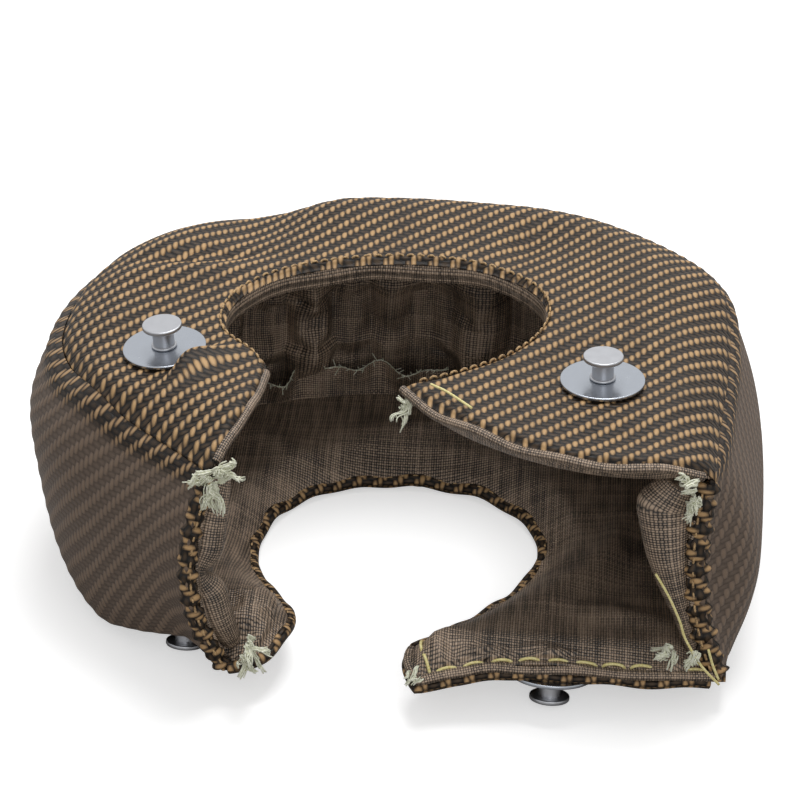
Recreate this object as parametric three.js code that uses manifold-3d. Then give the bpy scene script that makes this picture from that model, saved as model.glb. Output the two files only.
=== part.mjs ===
// Turbo heat blanket: a C-shaped jacket that laces round a turbine housing, shown lying open.
// A top panel, a curved wall and a bottom panel are each quilted from an outer cover of
// coarse twill, a layer of felt insulation and a lining of fine plain cloth. Four riveted
// capstans take the lacing wire. Millimetres, +Z up. Plan sizes are measured from the
// middle of the hole, heights from the floor.

import * as THREE from 'three';
import { mergeVertices } from 'three/addons/utils/BufferGeometryUtils.js';
import Module from 'manifold-3d';

const wasm = await Module();
wasm.setup();

// Cloth and filling
const coverThickness = 1.6;
const liningThickness = 0.9;
const clearance = 0.3;
const seamEase = 0.8;
const waleSpacing = 4.8;
const waleHeight = 0.6;
const panelWaleAngle = THREE.MathUtils.degToRad(41);
const wallWaleAngle = THREE.MathUtils.degToRad(47);

// Outer seams in plan
const seamHalfWidth = 98;
const seamBack = 98;
const topLeftCorner = [-52, -64];
const topRightCorner = [86, -66];
const bottomLeftCorner = [-49, -70];
const bottomRightCorner = [89, -74];

// The round hole and the slit that opens it to the front
const holeBack = 47;
const holeLeft = 51;
const holeRight = 43;
const topLeftTip = [-38, -19];
const topRightTip = [1, -29];
const bottomHoleBack = 42;
const bottomHoleHalfWidth = 44;
const bottomLeftTip = [-31, -50];
const bottomRightTip = [3, -66];
const bottomRightPoint = [4, -80];

// Heights of the top panel
const topSeamHeight = 72;
const topLevel = 79;
const topLiningLevel = 70.4;
const shoulderWidth = 18;
const rimDepth = 13;

// Bottom panel: how deep its pad is, and how far its edges stand above its underside
const bottomPadDepth = 10;
const bottomEdgeRise = 2.8;
const bottomHemRise = 0.2;
const bottomRoundness = 13;

// Wall: bulge over the seams, filling, and how its two front ends turn
const wallBulge = 8;
const wallFilling = 9.5;
const wallEase = 0.6;
const wallEndTurn = 14;
const leftEndBulge = 5;
const rightEndBulge = -5;
const wallPadRamp = 20;
const wallEndRamp = 12;
const wallLiningInset = 5;
const wallLiningFold = 3;
const wallFoldSpacing = 31;

// Insulation stops short of the sewn edges
const seamAllowance = 7;
const rimAllowance = 6;

// Lacing capstan: face washer, spool with a riveted end, and backing washer
const washerRadius = 12;
const washerThickness = 1.1;
const washerEdge = 0.3;
const capstanReach = 8.8;
const headRadius = 5.7;
const headThickness = 1.3;
const headEdge = 0.35;
const postRadius = 2.65;
const postFillet = 0.7;
const backingRadius = 5;
const backingThickness = 0.6;
const rivetRadius = 3.8;
const rivetThickness = 0.7;
const roundSides = 14;

// Where the capstans sit in plan; the two lower ones carry the front of the jacket
const topLeftAnchor = [-67.5, -9];
const topRightAnchor = [57, -28];
const bottomLeftAnchor = [-61.5, -43.5];
const bottomRightAnchor = [42.5, -70.5];
const topLeftLean = [-0.06, -0.02];
const topRightLean = [0.0, 0.02];
const lowerTilt = THREE.MathUtils.degToRad(14);
const rampPower = 1.3;
const frontDroop = 0.0145;
const frontReach = 30;
const dimpleWidth = 14;

// Facet sizes
const outlineStep = 10;
const waleStep = 3 * waleSpacing;
const wallRows = 6;
const wallSoftStep = 15;
const wallFoldStep = 9;
const gridReach = 132;
const farAway = 60;

// Plan curves: each is a chain of cubic arcs, three points to an arc after the start
function chain(start, ...points) {
  const path = new THREE.Path();
  path.moveTo(...start);
  for (let i = 0; i < points.length; i += 3) {
    path.bezierCurveTo(...points[i], ...points[i + 1], ...points[i + 2]);
  }
  return path;
}

const topSeam = chain(
  topLeftCorner,
  [topLeftCorner[0] - 16, topLeftCorner[1] + 21], [-seamHalfWidth, -18], [-seamHalfWidth, 14],
  [-seamHalfWidth, 62], [-52, seamBack], [0, seamBack],
  [46, seamBack], [seamHalfWidth - 5, 66], [seamHalfWidth - 2, 26],
  [seamHalfWidth - 3, -2], [topRightCorner[0] + 2, topRightCorner[1] + 30], topRightCorner,
);
const topOpening = chain(
  topRightCorner,
  [topRightCorner[0] - 24, topRightCorner[1] - 12], [topRightTip[0] + 21, topRightTip[1] - 33],
  topRightTip,
  [topRightTip[0] + 23, topRightTip[1] + 9], [holeRight - 3, -9], [holeRight, 12],
  [holeRight + 2, 32], [28, holeBack], [0, holeBack],
  [-28, holeBack], [-holeLeft, 34], [-holeLeft, 10],
  [-holeLeft, -6], [topLeftTip[0], topLeftTip[1] + 13], topLeftTip,
  [topLeftTip[0] - 1, topLeftTip[1] - 17], [topLeftCorner[0] + 9, topLeftCorner[1] + 16],
  topLeftCorner,
);
const bottomSeam = chain(
  bottomLeftCorner,
  [bottomLeftCorner[0] - 23, bottomLeftCorner[1] + 24], [-seamHalfWidth - 2, -27],
  [-seamHalfWidth - 1, 12],
  [-seamHalfWidth - 1, 62], [-52, seamBack], [0, seamBack],
  [46, seamBack], [seamHalfWidth - 4, 66], [seamHalfWidth, 24],
  [seamHalfWidth + 1, -6], [bottomRightCorner[0] + 4, bottomRightCorner[1] + 32],
  bottomRightCorner,
);
const bottomOpening = chain(
  bottomRightCorner,
  [bottomRightCorner[0] - 19, bottomRightCorner[1] - 7], [bottomRightPoint[0] + 26, -74],
  bottomRightPoint,
  [bottomRightPoint[0] - 2, -76], [bottomRightTip[0] - 3, -72], bottomRightTip,
  [bottomRightTip[0] + 11, bottomRightTip[1] + 13], [36, -26], [bottomHoleHalfWidth - 1, -3],
  [bottomHoleHalfWidth + 2, 20], [27, bottomHoleBack], [0, bottomHoleBack],
  [-27, bottomHoleBack], [-bottomHoleHalfWidth - 2, 22], [-bottomHoleHalfWidth, -5],
  [-bottomHoleHalfWidth + 1, -24], [bottomLeftTip[0], bottomLeftTip[1] + 14], bottomLeftTip,
  [bottomLeftTip[0] - 1, bottomLeftTip[1] - 13], [bottomLeftCorner[0] + 9, -74],
  bottomLeftCorner,
);

// Small maths
const { clamp, lerp, smoothstep } = THREE.MathUtils;

function softEdge(distance, width) {
  return Math.sin(clamp(distance / width, 0, 1) * Math.PI / 2);
}

function mound(x, y, [cx, cy], alongAngle, length, width) {
  const dx = x - cx;
  const dy = y - cy;
  const a = (dx * Math.cos(alongAngle) + dy * Math.sin(alongAngle)) / length;
  const b = (dy * Math.cos(alongAngle) - dx * Math.sin(alongAngle)) / width;
  return Math.exp(-a * a - b * b);
}

// A panel in plan: its outer seam, its open edges, and distances to both
function planOf(seamPath, openingPath) {
  const spaced = (path) => path.getSpacedPoints(Math.round(path.getLength() / outlineStep));
  const seam = spaced(seamPath);
  const opening = spaced(openingPath);
  const outline = [...seam, ...opening.slice(1, -1)];
  return { seam, opening, outline };
}

function distanceTo(points, x, y) {
  let best = Infinity;
  for (let i = 1; i < points.length; i++) {
    const a = points[i - 1];
    const b = points[i];
    const ex = b.x - a.x;
    const ey = b.y - a.y;
    const t = clamp(((x - a.x) * ex + (y - a.y) * ey) / (ex * ex + ey * ey), 0, 1);
    best = Math.min(best, Math.hypot(x - a.x - t * ex, y - a.y - t * ey));
  }
  return best;
}

function isInside(points, x, y) {
  let inside = false;
  for (let i = 0, j = points.length - 1; i < points.length; j = i++) {
    const a = points[i];
    const b = points[j];
    const crosses = (a.y > y) !== (b.y > y);
    if (crosses && x < (b.x - a.x) * (y - a.y) / (b.y - a.y) + a.x) inside = !inside;
  }
  return inside;
}

// Outside the outline, the distance to the nearer edge counts as none
function edgeDistances(plan, x, y) {
  const toSeam = distanceTo(plan.seam, x, y);
  const toOpening = distanceTo(plan.opening, x, y);
  if (isInside(plan.outline, x, y)) return { toSeam, toOpening };
  if (toSeam < toOpening) return { toSeam: 0, toOpening };
  return { toSeam, toOpening: 0 };
}

// The outline moved inwards, by one allowance along the seam and another along the opening
function movedIn(plan, fromSeam, fromOpening) {
  const { outline } = plan;
  const count = outline.length;
  const moved = outline.map((point, i) => {
    const before = outline[(i + count - 1) % count];
    const after = outline[(i + 1) % count];
    const n1 = new THREE.Vector2(point.y - before.y, before.x - point.x).normalize();
    const n2 = new THREE.Vector2(after.y - point.y, point.x - after.x).normalize();
    const inset = i < plan.seam.length ? fromSeam : fromOpening;
    const reach = inset / Math.max(0.35, 1 + n1.dot(n2));
    return n1.add(n2).multiplyScalar(reach).add(point);
  });
  const nearly = 0.97;
  return moved.filter(({ x, y }) => distanceTo(plan.seam, x, y) >= fromSeam * nearly
    && distanceTo(plan.opening, x, y) >= fromOpening * nearly);
}

// Solids: triangles in space, joined at their shared corners
function solidOf(triangles) {
  const geometry = new THREE.BufferGeometry().setFromPoints(triangles.flat());
  return shapeOf(geometry);
}

function shapeOf(geometry) {
  geometry.deleteAttribute('normal');
  geometry.deleteAttribute('uv');
  const merged = mergeVertices(geometry, 1e-4);
  const corners = merged.getIndex().array;
  const kept = [];
  for (let i = 0; i < corners.length; i += 3) {
    const [a, b, c] = corners.slice(i, i + 3);
    if (a !== b && b !== c && c !== a) kept.push(a, b, c);
  }
  return new wasm.Manifold(new wasm.Mesh({
    numProp: 3,
    vertProperties: new Float32Array(merged.getAttribute('position').array),
    triVerts: new Uint32Array(kept),
  }));
}

function geometryOf(solid) {
  const mesh = solid.getMesh();
  const geometry = new THREE.BufferGeometry();
  geometry.setAttribute('position', new THREE.BufferAttribute(mesh.vertProperties, 3));
  geometry.setIndex(new THREE.BufferAttribute(mesh.triVerts, 1));
  geometry.computeVertexNormals();
  return geometry;
}

function prismOf(outline, bottom, top) {
  const geometry = new THREE.ExtrudeGeometry(new THREE.Shape(outline), {
    depth: top - bottom,
    bevelEnabled: false,
  });
  return shapeOf(geometry.translate(0, 0, bottom));
}

// The space under or over a surface height(x, y, line), sampled on a turned grid; line
// counts the grid lines that run along the angle
function spaceFrom(height, { angle, along, across }, far) {
  const rows = Math.ceil(gridReach / across);
  const columns = Math.ceil(gridReach / along);
  const cos = Math.cos(angle);
  const sin = Math.sin(angle);
  const grid = [];
  for (let j = -rows; j <= rows; j++) {
    const row = [];
    for (let i = -columns; i <= columns; i++) {
      const x = i * along * cos - j * across * sin;
      const y = i * along * sin + j * across * cos;
      row.push(new THREE.Vector3(x, y, height(x, y, j)));
    }
    grid.push(row);
  }
  const drop = (point) => new THREE.Vector3(point.x, point.y, far);
  const last = grid.length - 1;
  const end = grid[0].length - 1;
  const triangles = [];
  for (let j = 0; j < last; j++) {
    for (let i = 0; i < end; i++) {
      const [a, b, c, d] = [grid[j][i], grid[j][i + 1], grid[j + 1][i + 1], grid[j + 1][i]];
      triangles.push([a, b, c], [a, c, d]);
    }
  }
  const sides = [
    grid[0],
    grid.map((row) => row[end]),
    [...grid[last]].reverse(),
    grid.map((row) => row[0]).reverse(),
  ];
  for (const side of sides) {
    const foot = drop(side[0]);
    for (let i = 1; i < side.length; i++) triangles.push([side[i], side[i - 1], foot]);
    triangles.push([side[side.length - 1], foot, drop(side[side.length - 1])]);
  }
  const feet = sides.map((side) => drop(side[0]));
  triangles.push([feet[2], feet[1], feet[0]], [feet[3], feet[2], feet[0]]);
  const under = far < grid[0][0].z;
  return solidOf(under ? triangles : triangles.map(([a, b, c]) => [a, c, b]));
}

function layerOf(outline, upper, upperGrid, lower, lowerGrid) {
  const under = spaceFrom(upper, upperGrid, -farAway);
  const over = spaceFrom(lower, lowerGrid, topLevel + farAway);
  const prism = prismOf(outline, -farAway / 2, topLevel + farAway / 2);
  return under.intersect(over).intersect(prism);
}

// How the jacket lies: its underside is flat on the floor at the back and ramps up to the
// line through the two lower capstans, then droops a little in front of it
const supportLift = capstanReach * Math.cos(lowerTilt)
  + (headRadius - headEdge) * Math.sin(lowerTilt);
const rampLength = rampPower * supportLift / Math.tan(lowerTilt);
const supportLine = new THREE.Vector2(
  bottomRightAnchor[0] - bottomLeftAnchor[0],
  bottomRightAnchor[1] - bottomLeftAnchor[1],
).normalize();

function lieHeight(x, y) {
  const dx = x - bottomLeftAnchor[0];
  const dy = y - bottomLeftAnchor[1];
  const ahead = Math.min(dx * supportLine.y - dy * supportLine.x, frontReach);
  if (ahead > 0) return supportLift + Math.tan(lowerTilt) * ahead - frontDroop * ahead * ahead;
  return supportLift * Math.max(0, 1 + ahead / rampLength) ** rampPower;
}

const lowerAxis = new THREE.Vector3(
  supportLine.y * Math.sin(lowerTilt),
  -supportLine.x * Math.sin(lowerTilt),
  -Math.cos(lowerTilt),
);

// Capstans: where each one's washer meets the cloth, and the way its post points
function anchorAt(name, plan, height, axis) {
  const seat = new THREE.Vector3(plan[0], plan[1], height);
  const direction = axis.clone().normalize();
  const turn = new THREE.Quaternion().setFromUnitVectors(
    new THREE.Vector3(0, 0, Math.sign(direction.z)),
    direction,
  );
  if (direction.z < 0) {
    turn.multiply(new THREE.Quaternion().setFromAxisAngle(new THREE.Vector3(1, 0, 0), Math.PI));
  }
  return { name, seat, direction, turn };
}

const topDimple = 0.8;
const topAnchors = [
  anchorAt('top_left', topLeftAnchor, topLevel - topDimple,
    new THREE.Vector3(...topLeftLean, 1)),
  anchorAt('top_right', topRightAnchor, topLevel - topDimple,
    new THREE.Vector3(...topRightLean, 1)),
];
const bottomAnchors = [
  anchorAt('bottom_left', bottomLeftAnchor, supportLift, lowerAxis),
  anchorAt('bottom_right', bottomRightAnchor, supportLift, lowerAxis),
];

// The cloth is drawn flat under each washer
function flattened(height, x, y, anchors, offset) {
  let result = height;
  for (const { seat, direction } of anchors) {
    const dx = x - seat.x;
    const dy = y - seat.y;
    const distance = Math.hypot(dx, dy);
    const flat = seat.z + offset - (direction.x * dx + direction.y * dy) / direction.z;
    const grip = 1 - smoothstep(distance, washerRadius + 1, washerRadius + 1 + dimpleWidth);
    result = lerp(result, flat, grip);
  }
  return result;
}

// Top panel
const topPlan = planOf(topSeam, topOpening);

function topWaves(x, y) {
  return 2.2 * mound(x, y, [-2, 80], 0, 30, 22)
    + 1.8 * mound(x, y, [-66, 58], 0.9, 22, 16)
    - 2.4 * mound(x, y, [-37, 64], 0.95, 24, 12)
    - 2.4 * mound(x, y, [50, 68], 1.25, 22, 12)
    + 1.0 * mound(x, y, [72, 30], 1.3, 26, 18)
    - 1.6 * mound(x, y, [62, -58], 0, 20, 12);
}

function topSeamLevel(x, y) {
  return topSeamHeight - 3 * mound(x, y, [-46, 88], 0, 22, 22);
}

function topCoverInner(x, y) {
  const { toSeam } = edgeDistances(topPlan, x, y);
  const level = topLevel - coverThickness + topWaves(x, y);
  const loose = lerp(topSeamLevel(x, y) + clearance / 2, level, softEdge(toSeam, shoulderWidth));
  return flattened(loose, x, y, topAnchors, -coverThickness);
}

function topLiningUpper(x, y) {
  const { toSeam, toOpening } = edgeDistances(topPlan, x, y);
  const inner = lerp(topSeamLevel(x, y) - clearance / 2, topLiningLevel,
    softEdge(toSeam, shoulderWidth));
  return Math.min(lerp(topCoverInner(x, y) - clearance, inner, softEdge(toOpening, rimDepth)),
    topCoverInner(x, y) - clearance);
}

// Bottom panel
const bottomPlan = planOf(bottomSeam, bottomOpening);

function bottomBase(x, y) {
  const toFront = smoothstep(-y, -bottomHoleBack / 2, -bottomRightPoint[1] - 18);
  return lieHeight(x, y) + coverThickness + lerp(bottomEdgeRise, bottomHemRise, toFront);
}

function bottomCoverInner(x, y) {
  const { toSeam } = edgeDistances(bottomPlan, x, y);
  const loose = lerp(
    bottomBase(x, y) - clearance / 2,
    lieHeight(x, y) + coverThickness,
    softEdge(toSeam, bottomRoundness),
  );
  return flattened(loose, x, y, bottomAnchors, coverThickness);
}

function bottomLiningLower(x, y) {
  const { toSeam, toOpening } = edgeDistances(bottomPlan, x, y);
  const inner = lerp(bottomBase(x, y) + clearance / 2, lieHeight(x, y) + bottomPadDepth,
    softEdge(toSeam, bottomRoundness + 4));
  const cover = bottomCoverInner(x, y);
  let height = lerp(cover + clearance, inner, softEdge(toOpening, bottomRoundness));
  for (const { seat } of bottomAnchors) {
    const distance = Math.hypot(x - seat.x, y - seat.y);
    const stack = backingThickness + rivetThickness + 4 * clearance;
    const over = 1 - smoothstep(distance, waleStep / 2, waleStep / 2 + dimpleWidth);
    height = Math.max(height, cover + clearance + stack * over);
  }
  return Math.max(height, cover + clearance);
}

function bottomFolds(x, y) {
  return 1.6 * mound(x, y, [50, -30], 1.0, 26, 7)
    + 1.4 * mound(x, y, [12, 62], 0.15, 30, 7)
    + 1.4 * mound(x, y, [-42, 54], -0.7, 20, 7)
    + 1.2 * mound(x, y, [66, -52], -0.3, 16, 6);
}

const waleGrid = { angle: panelWaleAngle, along: waleStep, across: waleSpacing / 2 };
const softGrid = { angle: panelWaleAngle, along: waleStep, across: waleStep };
const wale = (line) => (line % 2 === 0 ? 0 : waleHeight);
const inward = coverThickness + 3 * clearance;

const topCover = layerOf(
  movedIn(topPlan, 0, 0),
  (x, y, line) => topCoverInner(x, y) + coverThickness - wale(line), waleGrid,
  topCoverInner, softGrid,
);
const topInsulation = layerOf(
  movedIn(topPlan, seamAllowance, rimAllowance),
  (x, y) => topCoverInner(x, y) - clearance, softGrid,
  (x, y) => topLiningUpper(x, y) + clearance, softGrid,
);
const topLining = layerOf(
  movedIn(topPlan, inward, 0),
  topLiningUpper, softGrid,
  (x, y) => topLiningUpper(x, y) - liningThickness, softGrid,
);
const bottomCover = layerOf(
  movedIn(bottomPlan, 0, 0),
  bottomCoverInner, softGrid,
  (x, y) => bottomCoverInner(x, y) - coverThickness, softGrid,
);
const bottomInsulation = layerOf(
  movedIn(bottomPlan, seamAllowance, rimAllowance),
  (x, y) => bottomLiningLower(x, y) - clearance, softGrid,
  (x, y) => bottomCoverInner(x, y) + clearance, softGrid,
);
const bottomLining = layerOf(
  movedIn(bottomPlan, inward, 0),
  (x, y) => bottomLiningLower(x, y) + liningThickness + bottomFolds(x, y), softGrid,
  bottomLiningLower, softGrid,
);

// Wall: a place on it is given by its share of the way round, its share of the height and
// its distance inwards from the line between the seams
const wallLength = (topSeam.getLength() + bottomSeam.getLength()) / 2;
const wallHeight = topSeamHeight - bottomEdgeRise;

function wallRange(around) {
  const foot = bottomSeam.getPointAt(around);
  const head = topSeam.getPointAt(around);
  return {
    foot,
    head,
    low: bottomCoverInner(foot.x, foot.y) + seamEase,
    high: topCoverInner(head.x, head.y) - seamEase,
  };
}

function wallPoint(around, height, depth) {
  const { foot, head, low, high } = wallRange(around);
  const before = topSeam.getPointAt(Math.max(0, around - 0.004));
  const after = topSeam.getPointAt(Math.min(1, around + 0.004));
  const way = after.sub(before).normalize();
  return new THREE.Vector3(
    lerp(foot.x, head.x, height) + way.y * depth,
    lerp(foot.y, head.y, height) - way.x * depth,
    lerp(low, high, height),
  );
}

function wallCoverOuter(around, height) {
  const fromLeft = around * wallLength / wallEndTurn;
  const fromRight = (1 - around) * wallLength / wallEndTurn;
  const left = Math.exp(-fromLeft * fromLeft);
  const right = Math.exp(-fromRight * fromRight);
  const bulge = wallBulge * (1 - left - right) + leftEndBulge * left + rightEndBulge * right;
  return -bulge * Math.sin(Math.PI * height);
}

function wallFill(around, height) {
  const rise = Math.min(height, 1 - height) * wallHeight - wallLiningInset;
  const toEnd = Math.min(around, 1 - around) * wallLength;
  return wallFilling * softEdge(rise, wallPadRamp) * softEdge(toEnd, wallEndRamp);
}

function wallFolds(around, height) {
  const turns = around * wallLength / wallFoldSpacing;
  const wave = Math.cos(2 * Math.PI * turns + Math.sin(turns)) + 0.5 * Math.cos(4.4 * turns);
  const middle = softEdge(Math.min(height, 1 - height), 0.3);
  const toEnd = softEdge(Math.min(around, 1 - around) * wallLength - wallEndRamp, wallEndRamp);
  return wallLiningFold * Math.max(0, wave) * middle * toEnd;
}

// One face of a wall layer: rows of places, straight up or slanted along the wales, drawn
// in from the ends by one allowance and from the two seams by another
function wallFace(depth, { rows, step, slant = 0, fromEnds = 0, fromSeams = 0 }) {
  const lean = slant ? wallHeight / Math.tan(slant) : 0;
  const columns = Math.ceil((wallLength + lean) / step);
  const face = [];
  for (let j = 0; j <= rows; j++) {
    const row = [];
    const rise = clamp(wallHeight * j / rows, fromSeams, wallHeight - fromSeams);
    for (let i = 0; i <= columns; i++) {
      const evenly = slant ? i * step - lean * j / rows : wallLength * i / columns;
      const run = clamp(evenly, fromEnds, wallLength - fromEnds);
      const open = run > fromEnds && run < wallLength - fromEnds && j > 0 && j < rows;
      const around = run / wallLength;
      const height = rise / wallHeight;
      row.push({
        along: (run - fromEnds) / (wallLength - 2 * fromEnds),
        share: (rise - fromSeams) / (wallHeight - 2 * fromSeams),
        place: wallPoint(around, height, depth(around, height, open ? i : 0)),
      });
    }
    face.push(row);
  }
  return face;
}

function faceTriangles(face) {
  const triangles = [];
  for (let j = 0; j + 1 < face.length; j++) {
    for (let i = 0; i + 1 < face[j].length; i++) {
      const a = face[j][i].place;
      const b = face[j][i + 1].place;
      const c = face[j + 1][i + 1].place;
      const d = face[j + 1][i].place;
      triangles.push([a, c, b], [a, d, c]);
    }
  }
  return triangles;
}

function faceBorder(face) {
  const last = face.length - 1;
  const end = face[0].length - 1;
  const border = [
    ...face[0].map(({ along, place }) => ({ turn: along, place })),
    ...face.map((row) => ({ turn: 1 + row[end].share, place: row[end].place })),
    ...[...face[last]].reverse().map(({ along, place }) => ({ turn: 3 - along, place })),
    ...[...face].reverse().map((row) => ({ turn: 4 - row[0].share, place: row[0].place })),
  ];
  return border.filter(({ place }, i) => i === 0 || place.distanceTo(border[i - 1].place) > 1e-6);
}

// The two faces of a layer, closed all round between their borders
function wallLayer(outer, inner) {
  const triangles = faceTriangles(outer);
  triangles.push(...faceTriangles(inner).map(([a, b, c]) => [a, c, b]));
  const one = faceBorder(outer);
  const two = faceBorder(inner);
  let i = 0;
  let j = 0;
  while (i + 1 < one.length || j + 1 < two.length) {
    const nextOne = i + 1 < one.length ? one[i + 1].turn : Infinity;
    const nextTwo = j + 1 < two.length ? two[j + 1].turn : Infinity;
    if (nextOne <= nextTwo) {
      triangles.push([one[i].place, one[i + 1].place, two[j].place]);
      i += 1;
    } else {
      triangles.push([one[i].place, two[j + 1].place, two[j].place]);
      j += 1;
    }
  }
  return solidOf(triangles);
}

const waleRun = waleSpacing / 2 / Math.sin(wallWaleAngle);
const wallCover = wallLayer(
  wallFace((around, height, line) => wallCoverOuter(around, height) + wale(line), {
    rows: wallRows,
    step: waleRun,
    slant: wallWaleAngle,
  }),
  wallFace((around, height) => wallCoverOuter(around, height) + coverThickness, {
    rows: wallRows,
    step: wallSoftStep,
  }),
);

const fillStart = coverThickness + wallEase;
const liningStart = fillStart + 2 * clearance;
const fillFrame = {
  rows: wallRows,
  step: wallSoftStep,
  fromEnds: wallLength / Math.ceil(wallLength / wallSoftStep),
  fromSeams: seamAllowance,
};
const wallInsulation = wallLayer(
  wallFace((around, height) => wallCoverOuter(around, height) + fillStart, fillFrame),
  wallFace((around, height) => wallCoverOuter(around, height) + fillStart
    + wallFill(around, height), fillFrame),
);
const wallLining = wallLayer(
  wallFace((around, height) => wallCoverOuter(around, height) + liningStart
    + wallFill(around, height), {
    rows: wallRows,
    step: wallSoftStep,
    fromSeams: wallLiningInset,
  }),
  wallFace((around, height) => wallCoverOuter(around, height) + liningStart
    + wallFill(around, height) + liningThickness + wallFolds(around, height), {
    rows: wallRows,
    step: wallFoldStep,
    fromSeams: wallLiningInset,
  }),
);

// Capstan pieces, each turned about its own post, with the cloth's face at zero
function turned(profile) {
  const points = profile.map(([radius, height]) => new THREE.Vector2(radius, height));
  return new THREE.LatheGeometry(points, roundSides).rotateX(Math.PI / 2);
}

const bore = postRadius + clearance;
const washerBase = clearance;
const washerTop = washerBase + washerThickness;
const backingTop = -coverThickness - clearance;
const backingBase = backingTop - backingThickness;
const rivetTop = backingBase - clearance;
const rivetBase = rivetTop - rivetThickness;

const washerShape = turned([
  [bore, washerBase],
  [washerRadius, washerBase],
  [washerRadius, washerTop - washerEdge],
  [washerRadius - washerEdge, washerTop],
  [bore, washerTop],
  [bore, washerBase],
]);
const capstanShape = turned([
  [0, rivetBase],
  [rivetRadius, rivetBase],
  [rivetRadius, rivetTop],
  [postRadius, rivetTop],
  [postRadius, capstanReach - headThickness - postFillet],
  [postRadius + postFillet, capstanReach - headThickness],
  [headRadius, capstanReach - headThickness],
  [headRadius, capstanReach - headEdge],
  [headRadius - headEdge, capstanReach],
  [0, capstanReach],
]);
const backingShape = turned([
  [bore, backingBase],
  [backingRadius, backingBase],
  [backingRadius, backingTop],
  [bore, backingTop],
  [bore, backingBase],
]);

// Room that a capstan needs: its post through the cover and its seat above, and its
// riveted end behind the cover
function roomFor({ seat, turn }, radius, bottom, top) {
  const room = new THREE.CylinderGeometry(radius, radius, top - bottom, roundSides);
  room.rotateX(Math.PI / 2).translate(0, 0, (top + bottom) / 2);
  return shapeOf(room.applyQuaternion(turn).translate(seat.x, seat.y, seat.z));
}

function pierced(cover, anchors) {
  return anchors.reduce((solid, anchor) => solid
    .subtract(roomFor(anchor, bore, -farAway / 4, farAway / 4))
    .subtract(roomFor(anchor, washerRadius + clearance, 0, farAway / 4)), cover);
}

function relieved(layer, anchors) {
  const depth = rivetBase - clearance;
  return anchors.reduce((solid, anchor) => solid
    .subtract(roomFor(anchor, backingRadius + clearance, depth, 0)), layer);
}

// Materials
const twill = { color: 0x6b5a45, roughness: 0.75, metalness: 0.05 };
const felt = { color: 0xb9b2a3, roughness: 0.95, metalness: 0 };
const plainCloth = { color: 0x453c34, roughness: 0.8, metalness: 0.05 };
const zinc = { color: 0xb9c0c8, roughness: 0.25, metalness: 0.95 };
const satinAlloy = { color: 0xa8abae, roughness: 0.4, metalness: 0.9 };

function piece(name, geometry, finish) {
  const material = new THREE.MeshStandardMaterial({ ...finish, flatShading: true });
  const mesh = new THREE.Mesh(geometry, material);
  mesh.name = name;
  return mesh;
}

const blanket = new THREE.Group();
blanket.add(
  piece('top_cover', geometryOf(pierced(topCover, topAnchors)), twill),
  piece('top_insulation', geometryOf(relieved(topInsulation, topAnchors)), felt),
  piece('top_lining', geometryOf(topLining), plainCloth),
  piece('wall_cover', geometryOf(wallCover), twill),
  piece('wall_insulation', geometryOf(wallInsulation), felt),
  piece('wall_lining', geometryOf(wallLining), plainCloth),
  piece('bottom_cover', geometryOf(pierced(bottomCover, bottomAnchors)), twill),
  piece('bottom_insulation', geometryOf(relieved(bottomInsulation, bottomAnchors)), felt),
  piece('bottom_lining', geometryOf(bottomLining), plainCloth),
);
for (const { name, seat, turn } of [...topAnchors, ...bottomAnchors]) {
  const anchor = new THREE.Group();
  anchor.add(
    piece(`${name}_washer`, geometryOf(shapeOf(washerShape.clone())), zinc),
    piece(`${name}_capstan`, geometryOf(shapeOf(capstanShape.clone())), satinAlloy),
    piece(`${name}_backing_washer`, geometryOf(shapeOf(backingShape.clone())), zinc),
  );
  anchor.position.copy(seat);
  anchor.quaternion.copy(turn);
  blanket.add(anchor);
}

// The origin is under the middle of the jacket's box, on the floor
const box = new THREE.Box3().setFromObject(blanket);
const middle = box.getCenter(new THREE.Vector3());
blanket.position.set(-middle.x, -middle.y, -box.min.z);

export default blanket;
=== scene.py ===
import math

import bpy
import numpy as np
from mathutils import Matrix, Vector


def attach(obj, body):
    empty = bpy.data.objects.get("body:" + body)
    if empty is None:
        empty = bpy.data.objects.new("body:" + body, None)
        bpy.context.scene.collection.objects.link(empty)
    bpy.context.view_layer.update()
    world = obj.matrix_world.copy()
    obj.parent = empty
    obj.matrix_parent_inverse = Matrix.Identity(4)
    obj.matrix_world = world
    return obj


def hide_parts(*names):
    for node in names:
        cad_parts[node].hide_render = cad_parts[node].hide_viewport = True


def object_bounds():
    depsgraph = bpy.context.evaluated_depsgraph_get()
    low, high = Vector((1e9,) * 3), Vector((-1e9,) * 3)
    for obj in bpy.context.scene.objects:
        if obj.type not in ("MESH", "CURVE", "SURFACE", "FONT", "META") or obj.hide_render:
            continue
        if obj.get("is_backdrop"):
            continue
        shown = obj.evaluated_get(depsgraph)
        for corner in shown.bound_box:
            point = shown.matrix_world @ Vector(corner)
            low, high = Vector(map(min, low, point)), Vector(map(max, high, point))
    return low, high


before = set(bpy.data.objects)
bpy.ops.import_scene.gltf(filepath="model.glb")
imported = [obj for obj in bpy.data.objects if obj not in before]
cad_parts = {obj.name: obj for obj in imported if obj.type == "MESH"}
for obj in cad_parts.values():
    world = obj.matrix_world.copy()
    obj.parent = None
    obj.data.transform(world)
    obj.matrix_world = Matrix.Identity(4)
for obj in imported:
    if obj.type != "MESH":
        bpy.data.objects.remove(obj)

cad_box = [list(corner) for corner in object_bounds()]
bpy.ops.object.select_all(action="DESELECT")


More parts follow.
